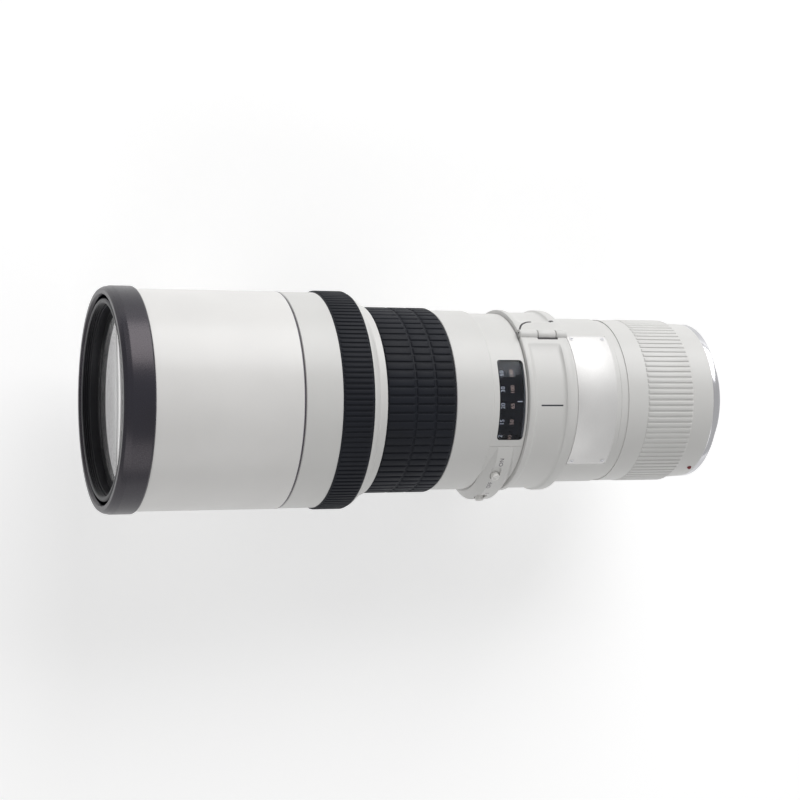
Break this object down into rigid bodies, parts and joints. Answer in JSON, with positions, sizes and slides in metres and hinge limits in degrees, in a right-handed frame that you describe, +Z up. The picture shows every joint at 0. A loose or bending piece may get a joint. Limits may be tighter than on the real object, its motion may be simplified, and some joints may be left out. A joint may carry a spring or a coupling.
{
  "type": "super telephoto lens",
  "caption": "Long white telephoto camera lens with a built-in sliding hood, ribbed focusing grip, distance window, hinged tripod collar with foot and a bayonet mount.",
  "frame": {"origin": "centre of the bayonet's flange face, on the optical axis", "axes": "+Y points along the optical axis to the camera body, so the front looks along -Y; +Z is up, through the distance window; +X is the side with the switch panel"},
  "size_m": [0.09, 0.2615, 0.108],
  "materials": {
    "white_paint": "satin enamel",
    "black_paint": "satin",
    "black_aluminium": "matt anodised",
    "aluminium": "machined",
    "rubber": "matt",
    "glass": "coated",
    "window": "clear",
    "steel": "plain",
    "chrome": "polished",
    "brass": "plain",
    "plate": "brushed",
    "black_plastic": "matt",
    "white_plastic": "satin",
    "felt": "flocked",
    "board": "lacquered",
    "red": "gloss"
  },
  "bodies": {
    "barrel": {"front_barrel": "white_paint", "ridged_ring": "rubber", "shoulder_ring": "white_paint", "filter_ring": "black_aluminium", "front_retainer": "black_aluminium", "element_1": "glass", "element_2": "glass", "element_3": "glass", "front_spacers": "black_aluminium", "front_baffle": "black_aluminium", "motor_stator": "brass", "guide_tube": "aluminium", "distance_window": "window", "centre_barrel": "white_paint", "window_housing": "white_paint", "switch_panel": "white_paint", "iris_base": "black_aluminium", "iris_motor": "steel", "rear_cell": "black_aluminium", "rear_elements": "glass", "rear_barrel": "white_paint", "rear_rib_ring": "white_paint", "main_board": "board", "name_plate": "plate", "plate_screws": "steel", "mount_plate": "chrome", "mount_screws": "steel", "rear_baffle": "black_plastic", "contact_block": "black_plastic", "contact_pins": "brass", "index_bead": "red"},
    "hood_carriage": {"hood_guide_ring": "black_aluminium"},
    "hood": {"hood_rim": "rubber", "hood_tube": "white_paint", "hood_lining": "felt"},
    "focus_ring": {"focus_grip": "rubber", "focus_ring": "aluminium"},
    "focus_drive": {"cam_tube": "aluminium", "scale_drum": "black_plastic", "drive_rollers": "steel"},
    "focus_cell": {"focus_cell": "black_aluminium", "cam_rollers": "steel", "focus_element": "glass"},
    "motor_rotor": {"motor_rotor": "steel"},
    "focus_mode_knob": {"focus_mode_knob": "white_plastic"},
    "range_knob": {"range_knob": "white_plastic"},
    "iris_ring": {"iris_ring": "black_plastic"},
    "collar_upper": {"collar_upper": "white_paint", "hinge_pin": "steel"},
    "collar_lower": {"collar_lower": "white_paint", "foot_bush": "steel"},
    "clamp_knob": {"clamp_knob": "black_plastic"},
    "iris_blade_1": {"iris_blade_1": "black_paint"},
    "iris_blade_2": {"iris_blade_2": "black_paint"},
    "iris_blade_3": {"iris_blade_3": "black_paint"},
    "iris_blade_4": {"iris_blade_4": "black_paint"},
    "iris_blade_5": {"iris_blade_5": "black_paint"},
    "iris_blade_6": {"iris_blade_6": "black_paint"},
    "iris_blade_7": {"iris_blade_7": "black_paint"},
    "iris_blade_8": {"iris_blade_8": "black_paint"}
  },
  "joints": [
    {"name": "hood_slide", "type": "slide", "parent": "barrel", "child": "hood_carriage", "axis": [0, -1, 0], "range_m": [0, 0.051]},
    {"name": "hood_turn", "type": "hinge", "parent": "hood_carriage", "child": "hood", "pos_m": [0, -0.2, 0], "axis": [0, -1, 0], "range_deg": [0, 15]},
    {"name": "focus_turn", "type": "hinge", "parent": "barrel", "child": "focus_ring", "pos_m": [0, -0.135, 0], "axis": [0, -1, 0], "range_deg": [0, 150]},
    {"name": "cam_turn", "type": "hinge", "parent": "barrel", "child": "focus_drive", "pos_m": [0, -0.115, 0], "axis": [0, -1, 0], "range_deg": [0, 75]},
    {"name": "focus_cell_slide", "type": "slide", "parent": "barrel", "child": "focus_cell", "axis": [0, 1, 0], "range_m": [0, 0.016]},
    {"name": "rotor_turn", "type": "hinge", "parent": "barrel", "child": "motor_rotor", "pos_m": [0, -0.1287, 0], "axis": [0, -1, 0], "continuous": true},
    {"name": "focus_mode_switch", "type": "hinge", "parent": "barrel", "child": "focus_mode_knob", "pos_m": [0.0088, -0.09725, 0], "axis": [0, -1, 0], "range_deg": [0, 5.5]},
    {"name": "range_switch", "type": "hinge", "parent": "barrel", "child": "range_knob", "pos_m": [0.0088, -0.09725, 0], "axis": [0, -1, 0], "range_deg": [0, 5.5]},
    {"name": "iris_turn", "type": "hinge", "parent": "barrel", "child": "iris_ring", "pos_m": [0, -0.0895, 0], "axis": [0, 1, 0], "range_deg": [0, 15]},
    {"name": "collar_turn", "type": "hinge", "parent": "barrel", "child": "collar_upper", "pos_m": [0, -0.0786, 0], "axis": [0, 1, 0], "continuous": true},
    {"name": "collar_open", "type": "hinge", "parent": "collar_upper", "child": "collar_lower", "pos_m": [-0.0266, -0.0786, 0.02614], "axis": [0, 1, 0], "range_deg": [0, 60]},
    {"name": "clamp_turn", "type": "hinge", "parent": "collar_lower", "child": "clamp_knob", "pos_m": [0.02598, -0.0786, -0.03711], "axis": [0.8192, 0, 0.5736], "continuous": true},
    {"name": "blade_1_turn", "type": "hinge", "parent": "barrel", "child": "iris_blade_1", "pos_m": [0.0234, -0.0875, 0], "axis": [0, -1, 0], "range_deg": [0, 25]},
    {"name": "blade_2_turn", "type": "hinge", "parent": "barrel", "child": "iris_blade_2", "pos_m": [0.01655, -0.0875, 0.01655], "axis": [0, -1, 0], "range_deg": [0, 25]},
    {"name": "blade_3_turn", "type": "hinge", "parent": "barrel", "child": "iris_blade_3", "pos_m": [0, -0.0875, 0.0234], "axis": [0, -1, 0], "range_deg": [0, 25]},
    {"name": "blade_4_turn", "type": "hinge", "parent": "barrel", "child": "iris_blade_4", "pos_m": [-0.01655, -0.0875, 0.01655], "axis": [0, -1, 0], "range_deg": [0, 25]},
    {"name": "blade_5_turn", "type": "hinge", "parent": "barrel", "child": "iris_blade_5", "pos_m": [-0.0234, -0.0875, 0], "axis": [0, -1, 0], "range_deg": [0, 25]},
    {"name": "blade_6_turn", "type": "hinge", "parent": "barrel", "child": "iris_blade_6", "pos_m": [-0.01655, -0.0875, -0.01655], "axis": [0, -1, 0], "range_deg": [0, 25]},
    {"name": "blade_7_turn", "type": "hinge", "parent": "barrel", "child": "iris_blade_7", "pos_m": [0, -0.0875, -0.0234], "axis": [0, -1, 0], "range_deg": [0, 25]},
    {"name": "blade_8_turn", "type": "hinge", "parent": "barrel", "child": "iris_blade_8", "pos_m": [0.01655, -0.0875, -0.01655], "axis": [0, -1, 0], "range_deg": [0, 25]}
  ],
  "couplings": [
    {"joint": "cam_turn", "follows": "focus_turn", "ratio": 0.5},
    {"joint": "focus_cell_slide", "follows": "focus_turn", "m_per_rad": 0.0061116},
    {"joint": "blade_1_turn", "follows": "iris_turn", "ratio": 1.6667},
    {"joint": "blade_2_turn", "follows": "iris_turn", "ratio": 1.6667},
    {"joint": "blade_3_turn", "follows": "iris_turn", "ratio": 1.6667},
    {"joint": "blade_4_turn", "follows": "iris_turn", "ratio": 1.6667},
    {"joint": "blade_5_turn", "follows": "iris_turn", "ratio": 1.6667},
    {"joint": "blade_6_turn", "follows": "iris_turn", "ratio": 1.6667},
    {"joint": "blade_7_turn", "follows": "iris_turn", "ratio": 1.6667},
    {"joint": "blade_8_turn", "follows": "iris_turn", "ratio": 1.6667}
  ]
}
